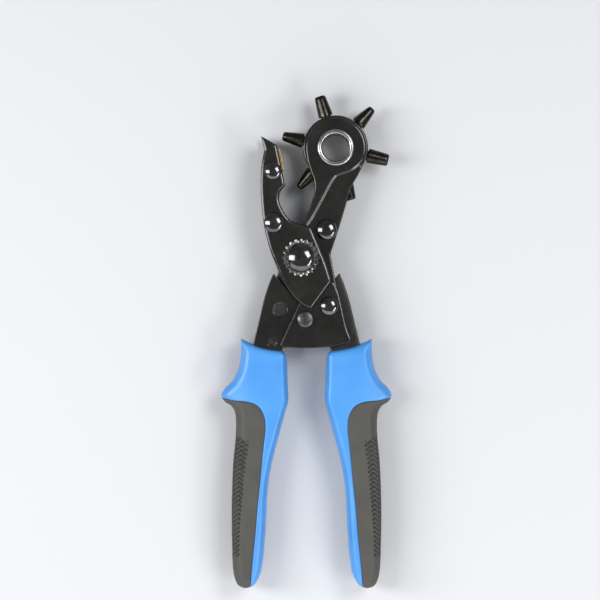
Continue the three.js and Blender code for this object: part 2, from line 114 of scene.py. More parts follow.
# length travelled along a run of points, from 0
def travelled(run):
    return np.concatenate([[0], np.cumsum(np.linalg.norm(np.diff(run, axis=0), axis=1))])


# the point at each given share of a run's length
def atShare(run, share):
    s = travelled(run)
    return np.stack([np.interp(share * s[-1], s, run[:, k]) for k in range(run.shape[1])], -1)


# one closed outline, evenly spaced, counter-clockwise, its corners blurred by a Gaussian round the loop
def closedLoop(*runs, step=0.4, soften=0.45):
    raw = np.vstack([np.atleast_2d(r) for r in runs])
    raw = raw[np.linalg.norm(raw - np.roll(raw, 1, 0), axis=1) > 1e-6]
    closed = np.vstack([raw, raw[:1]])
    count = int(round(travelled(closed)[-1] / step))
    even = atShare(closed, np.arange(count) / count)
    gain = np.exp(-2 * (math.pi * np.fft.fftfreq(count, step) * soften) ** 2)[:, None]
    even = np.fft.ifft(np.fft.fft(even, axis=0) * gain, axis=0).real
    x, y = even.T
    area = np.sum(x * np.roll(y, -1) - y * np.roll(x, -1))
    return even if area > 0 else even[::-1]


# unit vectors to the left of travel: into the sheet, both for an outline and for a hole run clockwise
def leftward(loop):
    t = np.roll(loop, -1, 0) - np.roll(loop, 1, 0)
    return np.stack([-t[:, 1], t[:, 0]], 1) / np.linalg.norm(t, axis=1)[:, None]


def insideLoops(points, loops):
    crossings = np.zeros(len(points), int)
    px, py = points[:, :1], points[:, 1:]
    for loop in loops:
        a, b = loop, np.roll(loop, -1, 0)
        spans = (a[:, 1] <= py) != (b[:, 1] <= py)
        rise = np.where(a[:, 1] == b[:, 1], 1, b[:, 1] - a[:, 1])
        crossings += (spans & (px < a[:, 0] + (b[:, 0] - a[:, 0]) * (py - a[:, 1]) / rise)).sum(1)
    return crossings % 2 == 1


# shortest distance from each point to a run of straight pieces
def distanceTo(points, run, closed=False):
    a = run if closed else run[:-1]
    b = np.roll(run, -1, 0) if closed else run[1:]
    ab = b - a
    found = []
    for part in np.array_split(points, max(1, len(points) // 1500)):
        ap = part[:, None, :] - a
        t = np.clip((ap * ab).sum(2) / np.maximum((ab * ab).sum(1), 1e-12), 0, 1)
        found.append(np.sqrt(((ap - t[..., None] * ab) ** 2).sum(2).min(1)))
    return np.concatenate(found)


def eased(x):
    x = np.clip(x, 0, 1)
    return x * x * (3 - 2 * x)


# meshes


# quads between neighbouring rows and columns of a grid of points
def gridFaces(rows, columns, closeRows=False, closeColumns=False):
    r, c = np.meshgrid(np.arange(rows if closeRows else rows - 1),
                       np.arange(columns if closeColumns else columns - 1), indexing="ij")
    r1, c1 = (r + 1) % rows, (c + 1) % columns
    corners = [r * columns + c, r * columns + c1, r1 * columns + c1, r1 * columns + c]
    return np.stack(corners, -1).reshape(-1, 4)


# a finished piece: points welded, faces outward, riding on its body and standing for its CAD nodes
def makePiece(name, points, faces, body, nodes, material, wear=None, sharp=40):
    mesh = bpy.data.meshes.new(name)
    mesh.from_pydata(((points + origin) * mm).tolist(), [], sum((part.tolist() for part in faces), []))
    if wear is not None:
        mesh.attributes.new("wear", "FLOAT", "POINT").data.foreach_set("value", np.asarray(wear, np.float32))
    bm = bmesh.new()
    bm.from_mesh(mesh)
    bmesh.ops.remove_doubles(bm, verts=bm.verts, dist=2e-6)
    bmesh.ops.dissolve_degenerate(bm, edges=bm.edges, dist=1e-6)
    bmesh.ops.recalc_face_normals(bm, faces=bm.faces)
    bm.to_mesh(mesh)
    bm.free()
    mesh.shade_smooth()
    mesh.set_sharp_from_angle(angle=math.radians(sharp))
    piece = bpy.data.objects.new(name, mesh)
    bpy.context.scene.collection.objects.link(piece)
    mesh.materials.append(material)
    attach(piece, body)
    if nodes:
        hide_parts(*nodes)
    return piece


# a profile of (radius, height) turned about an axis:
# across * radius * cos + side * radius * sin + axis * height
def turned(profile, centre, axis=(0, 0, 1), steps=72, ripple=None):
    axis = np.asarray(axis, float)
    across = np.array([1.0, 0, 0]) if abs(axis[2]) > 0.9 else np.array([0, 0, 1.0])
    side = np.cross(axis, across)
    a = np.linspace(0, 2 * math.pi, steps, endpoint=False)[None, :, None]
    radius, height = (np.asarray(profile, float)[:, k][:, None, None] for k in (0, 1))
    if ripple is not None:
        radius, height = ripple(radius, height, a)
    points = np.asarray(centre) + across * radius * np.cos(a) + side * radius * np.sin(a) + axis * height
    return points.reshape(-1, 3)


# a stamped sheet: rounded edge rows round every loop, and two faces filled with an even scatter of points;
# the top face is lowered near the outline by bevel (width, depth), and lift(points) raises the whole sheet
def stampedSheet(outline, holes, low, high, edge=0.3, bevel=None, lift=None, step=0.7, edgeRows=4,
                 flip=False):
    phi = np.linspace(0, math.pi / 2, edgeRows + 1)
    inset = np.concatenate([edge * (1 - np.sin(phi)), edge * (1 - np.sin(phi[::-1]))])
    rise = np.concatenate([low + edge * (1 - np.cos(phi)), high - edge * (1 - np.cos(phi[::-1]))])
    upper = np.concatenate([np.zeros(len(phi)), np.ones(len(phi))])
    loops = [outline] + [h[::-1] for h in holes]

    def shaped(plan, height, isUpper, away):
        z = height.copy()
        if bevel:
            z -= isUpper * bevel[1] * np.clip(1 - away / bevel[0], 0, 1) ** 2
        return z + lift(plan) if lift else z

    points, faces, rimTop, rimLow, rimPlan, wear = [], [], [], [], [], []
    start = 0
    for index, loop in enumerate(loops):
        rows = loop[None] + inset[:, None, None] * leftward(loop)[None]
        plan = rows.reshape(-1, 2)
        away = np.repeat(inset, len(loop)) if index == 0 else np.full(len(plan), 99.0)
        z = shaped(plan, np.repeat(rise, len(loop)), np.repeat(upper, len(loop)), away)
        points.append(np.column_stack([plan, z]))
        wear.append(np.repeat(np.sin(np.concatenate([2 * phi, 2 * phi])), len(loop)))
        faces.append(gridFaces(len(inset), len(loop), closeColumns=True) + start)
        rimLow.append(start + np.arange(len(loop)))
        rimTop.append(start + (len(inset) - 1) * len(loop) + np.arange(len(loop)))
        rimPlan.append(rows[-1])
        start += len(plan)

    xs, ys = (np.arange(a, b, step) for a, b in zip(outline.min(0), outline.max(0)))
    gx, gy = np.meshgrid(xs, ys)
    gx = gx + (np.arange(len(ys))[:, None] % 2) * step / 2
    scatter = np.column_stack([gx.ravel(), gy.ravel()])
    scatter = scatter[insideLoops(scatter, rimPlan)]
    away = np.min([distanceTo(scatter, loop, closed=True) for loop in rimPlan], axis=0)
    scatter = scatter[away > 0.6 * step]
    rim = np.vstack(rimPlan)
    sizes = np.cumsum([0] + [len(loop) for loop in rimPlan])
    rings = [np.arange(a, b) for a, b in zip(sizes[:-1], sizes[1:])]
    edges = np.vstack([np.column_stack([ring, np.roll(ring, -1)]) for ring in rings]).tolist()
    flat = np.vstack([rim, scatter])
    filled = delaunay_2d_cdt(flat.tolist(), edges, [], 0, 1e-5)
    # the fill hands its points back in another order, each with the number it was given; a point that it
    # added, where the outline crosses itself in a tight corner, goes to the nearest given one
    given = np.array([numbers[0] if numbers else -1 for numbers in filled[3]])
    added = np.array(filled[0]).reshape(-1, 2)[given < 0]
    given[given < 0] = np.linalg.norm(added[:, None] - flat[None], axis=2).argmin(1)
    triangles = given[np.array(filled[2])]
    triangles = triangles[(triangles != np.roll(triangles, 1, 1)).all(1)]
    triangles = triangles[insideLoops(flat[triangles].mean(1), rimPlan)]

    away = distanceTo(scatter, outline, closed=True)
    topZ = shaped(scatter, np.full(len(scatter), float(high)), 1.0, away)
    lowZ = shaped(scatter, np.full(len(scatter), float(low)), 0.0, away)
    top = np.concatenate([*rimTop, start + np.arange(len(scatter))])
    bottom = np.concatenate([*rimLow, start + len(scatter) + np.arange(len(scatter))])
    points += [np.column_stack([scatter, topZ]), np.column_stack([scatter, lowZ])]
    wear += [np.exp(-away / 0.5) * 0.3] * 2
    faces += [top[triangles], bottom[triangles][:, ::-1]]
    points = np.vstack(points)
    return (points * [1, 1, -1] if flip else points), faces, np.concatenate(wear)


# a stamping and its twin on the other side of the tool
def twinPlates(label, nodes, outline, holes, low, high, body, finish, **shape):
    for side, flip in (("front", False), ("rear", True)):
        points, faces, wear = stampedSheet(outline, holes, low, high, flip=flip, **shape)
        makePiece(label.format(side), points, faces, body, [nodes.format(side)],
                  finish, wear)


# finishes


def hexToLinear(text):
    srgb = np.array([int(text[i:i + 2], 16) for i in (1, 3, 5)]) / 255
    linear = np.where(srgb <= 0.04045, srgb / 12.92, ((srgb + 0.055) / 1.055) ** 2.4)
    return (*linear.tolist(), 1.0)


# adds one node: inputs holds plain values, or (node, output) to link from
def addNode(tree, kind, inputs=None, **settings):
    made = tree.nodes.new("ShaderNode" + kind)
    for key, value in settings.items():
        setattr(made, key, value)
    for socket, value in (inputs or {}).items():
        if isinstance(value, tuple) and isinstance(value[0], bpy.types.Node):
            tree.links.new(value[0].outputs[value[1]], made.inputs[socket])
        else:
            made.inputs[socket].default_value = value
    return made


def startMaterial(name):
    material = bpy.data.materials.new(name)
    material.use_nodes = True
    tree = material.node_tree
    return material, tree, tree.nodes["Principled BSDF"], addNode(tree, "TexCoord")


# colour steps between two stops, driven by a value
def addRamp(tree, source, stops):
    ramp = addNode(tree, "ValToRGB", {"Fac": source})
    first, last = ramp.color_ramp.elements
    for element, (place, colour) in zip((first, last), stops):
        element.position, element.color = place, colour
    return ramp


def grey(value):
    return (value, value, value, 1.0)


# cloudy noise whose clumps have the given size in metres
def addNoise(tree, source, size, detail):
    return addNode(tree, "TexNoise", {"Vector": source, "Scale": 1 / size, "Detail": detail})


# the finish's dark and light tones, mixed by a noise between two of its levels
def addTone(tree, noise, look, low, high):
    stops = [(low, hexToLinear(look["dark"])), (high, hexToLinear(look["light"]))]
    return addRamp(tree, (noise, "Fac"), stops)


# roughness that follows a noise: so much below the finish's own, to so much above it
def addGloss(tree, noise, look, low, high, under, over):
    stops = [(low, grey(look["roughness"] - under)), (high, grey(look["roughness"] + over))]
    return addRamp(tree, (noise, "Fac"), stops)


# stamped steel under gloss black lacquer: near black, soft waves in the reflections, edges rubbed to steel
def lacqueredSteel(name, look):
    material, tree, shader, coords = startMaterial(name)
    waves = addNoise(tree, (coords, "Object"), look["waveSize"], 2.0)
    peel = addNoise(tree, (coords, "Object"), look["peelSize"], 3.0)
    rubbed = addNode(tree, "Attribute", attribute_name="wear")
    scuffs = addNoise(tree, (coords, "Object"), look["scuffSize"], 6.0)
    worn = addNode(tree, "Math", {0: (rubbed, "Fac"), 1: (scuffs, "Fac")}, operation="MULTIPLY")
    wornStops = [(look["wearFrom"], grey(0)), (look["wearFrom"] + 0.18, grey(1))]
    wornMask = addRamp(tree, (worn, "Value"), wornStops)
    tone = addTone(tree, waves, look, 0.35, 0.65)
    base = addNode(tree, "Mix", {"Factor": (wornMask, "Color"), "A": (tone, "Color"),
                                 "B": hexToLinear(look["steel"])}, data_type="RGBA")
    gloss = addGloss(tree, scuffs, look, 0.3, 0.75, 0.05, 0.09)
    height = addNode(tree, "Bump", {"Height": (waves, "Fac"), "Strength": look["waveStrength"],
                                    "Distance": 0.0004})
    fine = addNode(tree, "Bump", {"Height": (peel, "Fac"), "Strength": look["peelStrength"],
                                  "Distance": 0.00005, "Normal": (height, "Normal")})
    tree.links.new(base.outputs["Result"], shader.inputs["Base Color"])
    tree.links.new(gloss.outputs["Color"], shader.inputs["Roughness"])
    tree.links.new(wornMask.outputs["Color"], shader.inputs["Metallic"])
    tree.links.new(fine.outputs["Normal"], shader.inputs["Normal"])
    return material


# bare or oxidised steel, turned or headed: full metal, faint fine scratches and cloudy gloss
def turnedSteel(name, look):
    material, tree, shader, coords = startMaterial(name)
    stretch = addNode(tree, "Mapping", {"Vector": (coords, "Object"), "Scale": look["stretch"]})
    scratches = addNoise(tree, (stretch, "Vector"), look["scratchSize"], 5.0)
    clouds = addNoise(tree, (coords, "Object"), look["cloudSize"], 3.0)
    tone = addTone(tree, clouds, look, 0.35, 0.68)
    gloss = addGloss(tree, scratches, look, 0.35, 0.7, 0, 0.12)
    bump = addNode(tree, "Bump", {"Height": (scratches, "Fac"), "Strength": look["bump"],
                                  "Distance": 0.00004})
    tree.links.new(tone.outputs["Color"], shader.inputs["Base Color"])
    tree.links.new(gloss.outputs["Color"], shader.inputs["Roughness"])
    tree.links.new(bump.outputs["Normal"], shader.inputs["Normal"])
    shader.inputs["Metallic"].default_value = look["metallic"]
    return material


# moulded thermoplastic: even colour with a faint cloud, spark-eroded grain and a satin shine
def mouldedPlastic(name, look):
    material, tree, shader, coords = startMaterial(name)
    grain = addNoise(tree, (coords, "Object"), look["grainSize"], 2.0)
    clouds = addNoise(tree, (coords, "Object"), look["cloudSize"], 4.0)
    tone = addTone(tree, clouds, look, 0.3, 0.7)
    gloss = addGloss(tree, clouds, look, 0.3, 0.7, 0.04, 0.05)
    bump = addNode(tree, "Bump", {"Height": (grain, "Fac"), "Strength": look["grain"], "Distance": 0.00006})
    tree.links.new(tone.outputs["Color"], shader.inputs["Base Color"])
    tree.links.new(gloss.outputs["Color"], shader.inputs["Roughness"])
    tree.links.new(bump.outputs["Normal"], shader.inputs["Normal"])
    shader.inputs["IOR"].default_value = look["ior"]
    shader.inputs["Specular IOR Level"].default_value = look["specular"]
    return material


# pressed plates: deep black with slow waves in what they mirror, and steel showing on rubbed corners
plateFinish = lacqueredSteel("gloss_black_lacquer_on_stamped_steel", {
    "dark": "#131210", "light": "#1C1B18", "steel": "#7E7C76", "roughness": 0.17, "wearFrom": 0.57,
    "waveSize": 0.016, "waveStrength": 0.3, "peelSize": 0.0016, "peelStrength": 0.12, "scuffSize": 0.003})
# cores, spacers and pins: the same black, duller and grainier
coreFinish = lacqueredSteel("black_lacquer_on_sawn_steel", {
    "dark": "#100F0C", "light": "#1A1915", "steel": "#6E6B64", "roughness": 0.36, "wearFrom": 0.5,
    "waveSize": 0.009, "waveStrength": 0.3, "peelSize": 0.001, "peelStrength": 0.3, "scuffSize": 0.002})
# domed heads: dark mirror with sharp lamp reflections
rivetFinish = turnedSteel("cold_headed_steel_polished_dark", {
    "dark": "#4C4B4A", "light": "#686766", "roughness": 0.07, "metallic": 1.0, "bump": 0.15,
    "stretch": (1, 1, 1), "scratchSize": 0.0009, "cloudSize": 0.004})
# low pivot head: soft mid grey
dullRivetFinish = turnedSteel("tumbled_steel_grey", {
    "dark": "#454544", "light": "#5A5A59", "roughness": 0.32, "metallic": 1.0, "bump": 0.4,
    "stretch": (1, 1, 1), "scratchSize": 0.0007, "cloudSize": 0.003})
# toothed washers: small bright beads
washerFinish = turnedSteel("spring_steel_bright_edges", {
    "dark": "#5E5C58", "light": "#807E79", "roughness": 0.22, "metallic": 1.0, "bump": 0.1,
    "stretch": (1, 1, 1), "scratchSize": 0.0006, "cloudSize": 0.003})
# rolled eyelet: the brightest metal, a clear ring
eyeletFinish = turnedSteel("nickel_plated_steel_spun", {
    "dark": "#8C8C8B", "light": "#A2A2A1", "roughness": 0.2, "metallic": 1.0, "bump": 0.03,
    "stretch": (1, 1, 1), "scratchSize": 0.004, "cloudSize": 0.006})
# punch tubes: near black with a narrow streak of light along each
tubeFinish = turnedSteel("black_oxide_on_turned_steel", {
    "dark": "#2A2823", "light": "#3D3A34", "roughness": 0.2, "metallic": 1.0, "bump": 0.25,
    "stretch": (1, 1, 1), "scratchSize": 0.0006, "cloudSize": 0.003})
# hub: black with a thin worn rim
hubFinish = lacqueredSteel("black_lacquer_on_turned_steel", {
    "dark": "#12110E", "light": "#1C1B17", "steel": "#7C7972", "roughness": 0.22, "wearFrom": 0.5,
    "waveSize": 0.01, "waveStrength": 0.25, "peelSize": 0.0012, "peelStrength": 0.12, "scuffSize": 0.002})
# return spring: light grey wire
springFinish = turnedSteel("drawn_spring_wire", {
    "dark": "#A09E98", "light": "#C4C2BC", "roughness": 0.18, "metallic": 1.0, "bump": 0.2,
    "stretch": (1, 1, 1), "scratchSize": 0.0005, "cloudSize": 0.003})
# anvil pad: warm yellow metal with saw marks
anvilFinish = turnedSteel("sawn_brass_anvil", {
    "dark": "#93754A", "light": "#B5975F", "roughness": 0.3, "metallic": 1.0, "bump": 0.8,
    "stretch": (1, 1, 5), "scratchSize": 0.0007, "cloudSize": 0.002})
# hard part of the grips: azure with a satin shine
blueFinish = mouldedPlastic("moulded_polypropylene_azure", {
    "dark": "#3B7FC1", "light": "#448BCE", "roughness": 0.36, "ior": 1.49, "specular": 0.5,
    "grainSize": 0.0007, "cloudSize": 0.02, "grain": 0.25})
# soft part of the grips: warm dark grey, nearly matte
rubberFinish = mouldedPlastic("overmoulded_elastomer_black", {
    "dark": "#3A3936", "light": "#42413D", "roughness": 0.6, "ior": 1.5, "specular": 0.45,
    "grainSize": 0.0006, "cloudSize": 0.012, "grain": 0.5})
print("finishes ready")

# jaws

anvilJaw = {
    "plate": closedLoop(
        [[-19.6, 59.3], alongPunch(27.9, -7), alongPunch(27.9, 10), [-7.9, 35.4]],
        curve([[-10.4, 33], [-10.8, 28.5], [-9.6, 24.6], [-7, 20.2], [-3.4, 17.2], [1.5, 15.7]]),
        curve([[4.9, 14.7], [7.4, 8.8], [9.8, 2.9], [12.3, -3.4], [14.7, -11.2]]),
        curve([[5.4, -24], [4.2, -24.5], [-1.5, -21], [-7.8, -13], [-12.2, -3.5], [-15.7, 5.9], [-18.4, 18],
               [-19.7, 34], [-19.2, 45], [-17.8, 52.5]])),
    "core": closedLoop(
        [[-18.6, 57.6], alongPunch(29.4, -6.4), alongPunch(29.4, 7.2), [-9, 35.6]],
        curve([[-11.1, 32.5], [-11.4, 28], [-10.2, 23.8], [-7.6, 19.6], [-4, 13], [2.5, 8.6]]),
        arc([0, 0], 9, 68, -45), [[-5.5, -27.3]], arc(pivot["leftLink"], 5.2, -25, -200),
        [[-10.6, -4.5]], curve([[-13, 2], [-15, 6], [-17.8, 18], [-19.1, 34], [-18.6, 45]]), [[-17.1, 52.5]]),
    "plateEdge": 0.35, "plateBevel": (1.5, 0.45), "coreEdge": 0.6,
}
shank = {"main": 4.0, "link": 3.0, "jaw": 2.6, "seat": 1.6, "room": 0.3}


def boredAt(name, radius):
    return closedLoop(arc(pivot[name], radius + shank["room"], 0, 360), step=0.6, soften=0)


anvilHoles = [boredAt("main", shank["main"]), boredAt("leftJaw", shank["jaw"]),
              boredAt("anvilRivet", shank["jaw"])]
twinPlates("anvil_jaw_{}_plate_shield", "anvil_jaw_{}_plate", anvilJaw["plate"], anvilHoles, levelLow(2),
           levelHigh(2), "anvil_jaw", plateFinish, edge=anvilJaw["plateEdge"],
           bevel=anvilJaw["plateBevel"], step=0.6)
coreHoles = anvilHoles + [boredAt("leftLink", shank["link"])]
points, faces, wear = stampedSheet(anvilJaw["core"], coreHoles, -stack["coreHalf"], stack["coreHalf"],
                                   edge=anvilJaw["coreEdge"], step=1.2)
makePiece("anvil_jaw_forged_core", points, faces, "anvil_jaw", ["anvil_jaw_core"],
          coreFinish, wear)

anvil = {"thickness": 2.2, "width": 11.0, "height": 7.6, "face": 26.8, "edge": 0.25}
back, side = anvil["face"] + anvil["thickness"], anvil["width"] / 2
padCorners = ((anvil["face"], side), (back, side), (back, -side), (anvil["face"], -side))
padLoop = closedLoop([alongPunch(d, s) for d, s in padCorners], step=0.25, soften=0.12)
points, faces, wear = stampedSheet(padLoop, [], -anvil["height"] / 2, anvil["height"] / 2,
                                   edge=anvil["edge"], step=0.5)
makePiece("anvil_pad_block", points, faces, "anvil_jaw", ["anvil_pad"], anvilFinish, wear)

wheelJaw = {
    "plate": closedLoop(
        arc(pivot["wheel"], 14.5, -34, 189, 120),
        curve([[2.8, 50.4], [3.4, 46.6], [5, 41.7], [6.4, 37.5], [6.6, 33.3], [5.4, 27.9], [2.6, 20.3],
               [-0.4, 14.6], [-5, 9], [-8.3, 4.4]]),
        arc([0, 0], 9.4, 155, 268), curve([[4, -12.5], [7.6, -20], [9.2, -26]]),
        arc(pivot["rightLink"], 5.5, 220, 372), [[16.6, -10]],
        curve([[14.4, 2], [15.6, 5.6], [18.2, 13.4], [20.4, 20.5], [22.4, 27.5], [24.6, 34.6], [28.2, 41],
               [29.8, 44.4]])),
    "stepLine": curve([[-3, 11.6], [1.6, 13.4], [5.9, 18.6], [11.4, 28.6], [16.6, 38], [19.6, 39.9],
                       [24.6, 41.7], [28.9, 44.9], [34, 49]]),
    "raise": 0.8, "stepWidth": 1.9, "edge": 0.35, "bevel": (0.9, 0.2), "eyeletBore": 7.3,
}
strapZone = np.vstack([wheelJaw["stepLine"], [[60, 90], [-40, 90], [-40, 11.6]]])


# the strap is pressed up from the arm: its rise follows the distance in from the step line
def strapLift(plan):
    inward = distanceTo(plan, wheelJaw["stepLine"]) * np.where(insideLoops(plan, [strapZone]), 1, -1)
    return wheelJaw["raise"] * eased(inward / wheelJaw["stepWidth"])


wheelHoles = [boredAt("wheel", wheelJaw["eyeletBore"]), boredAt("main", shank["main"]),
              boredAt("rightJaw", shank["jaw"]), boredAt("rightLink", shank["link"])]
twinPlates("wheel_jaw_{}_plate_strap", "wheel_jaw_{}_plate", wheelJaw["plate"], wheelHoles, levelLow(0),
           levelHigh(0), "wheel_jaw", plateFinish, edge=wheelJaw["edge"], bevel=wheelJaw["bevel"],
           lift=strapLift, step=0.45)
print("jaw plates ready")

# handles


# a handle's head and tang: only the eye round the pivot between the two handles isn't a mirror image
def handleOutline(place, eye):
    return closedLoop(
        place([[-13.4, -7.5], [-9.5, -12], [1.5, -24.4]]), eye,
        place([[2.1, -35.6], [-8.4, -42.4], [-9.6, -47]]),
        place(curve([[-13.6, -54], [-15, -62], [-16.6, -80], [-20, -105], [-22, -134.6]])),
        place([[-28.9, -134.6]]),
        place(curve([[-28.4, -105], [-25.6, -80], [-24, -62], [-24.1, -52], [-24.2, -46], [-23.2, -41.3],
                     [-20.8, -31.4], [-18.2, -20.6], [-15.4, -12]])))


leftHandle = {
    "outline": handleOutline(asDrawn, arc(pivot["handle"], 6, 62, -62)),
    "edge": 0.4, "pivotRoom": 0.3,
}
leftHoles = [boredAt("leftLink", shank["link"]), boredAt("springSeat", shank["seat"]),
             boredAt("handle", shank["link"] + leftHandle["pivotRoom"])]
twinPlates("left_handle_{}_plate_stamping", "left_handle_{}_plate", leftHandle["outline"], leftHoles,
           levelLow(0), levelHigh(0), "left_handle", plateFinish, edge=leftHandle["edge"], step=0.9)

rightHandle = {
    "tang": handleOutline(mirrored, arc(pivot["handle"], 5.8, 130, 230)),
    "cover": closedLoop(
        curve([[15.8, -11.8], [18.2, -17], [20.3, -26], [22.2, -34], [24.4, -40]]),
        curve([[22.6, -41.6], [13.7, -43.4], [2, -44.1], [-8.8, -43.6]]), [[-10.4, -42.6]],
        curve([[-1.2, -22.6], [1.2, -17.6], [4.2, -13.6], [9, -11.6]])),
    "tangEdge": 0.6, "coverEdge": 0.35, "coverBevel": (0.9, 0.2),
}
rightHoles = [boredAt("rightLink", shank["link"]), boredAt("handle", shank["link"])]
points, faces, wear = stampedSheet(rightHandle["tang"], rightHoles, -stack["coreHalf"], stack["coreHalf"],
                                   edge=rightHandle["tangEdge"], step=1.2)
makePiece("right_handle_tang_bar", points, faces, "right_handle", ["right_handle_tang"],
          coreFinish, wear)
twinPlates("right_handle_{}_cover_plate", "right_handle_{}_cover", rightHandle["cover"], rightHoles,
           levelLow(1), levelHigh(1), "right_handle", plateFinish, edge=rightHandle["coverEdge"],
           bevel=rightHandle["coverBevel"], step=0.7)
print("handle plates ready")

# rivets, washers and spacers


# a dome is a quarter ellipse from crown to rim, with a short upright lip under it
def domeProfile(radius, face, rise, lip=0.3, steps=18):
    phi = np.linspace(0, math.pi / 2, steps)
    return np.column_stack([radius * np.sin(phi), face + lip + (rise - lip) * np.cos(phi)])


rivets = {
    "main_rivet": {"at": "main", "shank": shank["main"], "head": 7.0, "front": 3.4, "rear": 1.5,
                   "face": levelHigh(2) + 1.4, "body": "anvil_jaw", "finish": rivetFinish},
    "left_jaw_rivet": {"at": "leftJaw", "shank": shank["jaw"], "head": 5.0, "front": 2.6, "rear": 1.4,
                       "face": levelHigh(2) + stack["gap"], "body": "anvil_jaw", "finish": rivetFinish},
    "anvil_rivet": {"at": "anvilRivet", "shank": shank["jaw"], "head": 4.2, "front": 2.2, "rear": 1.4,
                    "face": levelHigh(2) + stack["gap"], "body": "anvil_jaw", "finish": rivetFinish},
    "right_jaw_rivet": {"at": "rightJaw", "shank": shank["jaw"], "head": 5.1, "front": 2.6, "rear": 1.4,
                        "face": levelHigh(0) + stack["gap"], "body": "wheel_jaw", "finish": rivetFinish},
    "right_link_rivet": {"at": "rightLink", "shank": shank["link"], "head": 4.6, "front": 2.5, "rear": 1.4,
                         "face": levelHigh(1) + stack["gap"], "body": "right_handle", "finish": rivetFinish},
    "handle_pivot_rivet": {"at": "handle", "shank": shank["link"], "head": 4.0, "front": 1.4, "rear": 1.2,
                           "face": levelHigh(1) + stack["gap"], "body": "right_handle",
                           "finish": dullRivetFinish},
}
for name, r in rivets.items():
    front = domeProfile(r["head"], r["face"], r["front"])
    rear = domeProfile(r["head"], r["face"], r["rear"]) * [1, -1]
    profile = np.vstack([front, [[r["head"], r["face"]], [r["shank"], r["face"]], [r["shank"], -r["face"]],
                                 [r["head"], -r["face"]]], rear[::-1]])
    points = turned(profile, [*pivot[r["at"]], 0], steps=64)
    makePiece(name + "_domed", points, [gridFaces(len(profile), 64, closeColumns=True)], r["body"], [name],
              r["finish"])

pins = {
    "left_link_pin": {"at": "leftLink", "radius": shank["link"], "body": "anvil_jaw"},
    "spring_seat_pin": {"at": "springSeat", "radius": shank["seat"], "body": "left_handle"},
}
for name, p in pins.items():
    top, bevel = levelHigh(0), 0.25
    profile = [[0, top], [p["radius"] - bevel, top], [p["radius"], top - bevel], [p["radius"], bevel - top],
               [p["radius"] - bevel, -top], [0, -top]]
    points = turned(profile, [*pivot[p["at"]], 0], steps=48)
    makePiece(name + "_flush", points, [gridFaces(len(profile), 48, closeColumns=True)], p["body"], [name],
              coreFinish)


# a ring of rectangular section with rounded corners
def ringProfile(inner, outer, low, high, edge=0.25):
    q = np.linspace(0, math.pi / 2, 5)
    corner = edge * np.column_stack([np.sin(q), np.cos(q)])
    return np.vstack([np.array([outer - edge, high - edge]) + corner,
                      np.array([outer - edge, low + edge]) + corner[::-1] * [1, -1],
                      np.array([inner + edge, low + edge]) - corner,
                      np.array([inner + edge, high - edge]) + corner[::-1] * [-1, 1]])


spacers = {
    "jaw_spacer": {"at": "leftJaw", "shank": shank["jaw"], "outer": 5.0, "low": levelLow(0)},
    "anvil_spacer": {"at": "anvilRivet", "shank": shank["jaw"], "outer": 4.2, "low": levelLow(0)},
    "pivot_spacer": {"at": "main", "shank": shank["main"], "outer": 8.8, "low": levelLow(1)},
}
for name, s in spacers.items():
    profile = ringProfile(s["shank"] + shank["room"], s["outer"], s["low"], levelHigh(1))
    for sideName, sign in (("front", 1), ("rear", -1)):
        points = turned(profile * [1, sign], [*pivot[s["at"]], 0], steps=56)
        makePiece(f"{sideName}_{name}_ring", points, [gridFaces(len(profile), 56, True, True)], "anvil_jaw",
                  [f"{sideName}_{name}"], coreFinish)
wheelSpacer = {"outer": 5.4, "half": stack["coreHalf"]}
profile = ringProfile(shank["jaw"] + shank["room"], wheelSpacer["outer"], -wheelSpacer["half"],
                      wheelSpacer["half"])
points = turned(profile, [*pivot["rightJaw"], 0], steps=56)
makePiece("wheel_jaw_spacer_ring", points, [gridFaces(len(profile), 56, True, True)], "wheel_jaw",
          ["wheel_jaw_spacer"], coreFinish)

washer = {"inner": 4.3, "valley": 8.3, "tip": 9.1, "teeth": 20, "thickness": 0.45, "twist": 0.17,
          "low": levelHigh(2) + 0.3, "high": levelHigh(2) + 1.1}


# tooth tips stand out in a rounded square wave round the rim, each tooth twisted like a propeller blade
def toothed(radius, height, a):
    outward = np.clip((radius - washer["inner"]) / (washer["valley"] - washer["inner"]), 0, 1)
    phase = washer["teeth"] * a
    wave = np.tanh(3 * np.cos(phase)) / np.tanh(3)
    reach = (washer["tip"] + washer["valley"]) / 2 + (washer["tip"] - washer["valley"]) / 2 * wave
    newRadius = washer["inner"] + outward * (reach - washer["inner"])
    blade = washer["twist"] * np.sin(phase) * 2 * np.clip(outward - 0.6, 0, 1) / 0.8
    return newRadius, height + blade


# a thin flat ring, cut into teeth by the ripple above
middle = (washer["low"] + washer["high"]) / 2
radii = np.linspace(washer["inner"], washer["valley"], 12)
half = washer["thickness"] / 2
profile = np.vstack([np.column_stack([radii, np.full(12, middle + half)]),
                     [[washer["valley"] + 0.001, middle]],
                     np.column_stack([radii[::-1], np.full(12, middle - half)])])
for sideName, sign in (("front", 1), ("rear", -1)):
    points = turned(profile, [0, 0, 0], steps=480, ripple=toothed) * [1, 1, sign]
    makePiece(f"{sideName}_serrated_washer_toothed", points, [gridFaces(len(profile), 480, True, True)],
              "anvil_jaw", [f"{sideName}_serrated_washer"], washerFinish)
print("rivets and rings ready")

# punch wheel

eyelet = {"bore": 6.6, "wall": 0.7, "flange": 9.0, "low": levelHigh(0) + 1.1, "high": levelHigh(0) + 2.3}
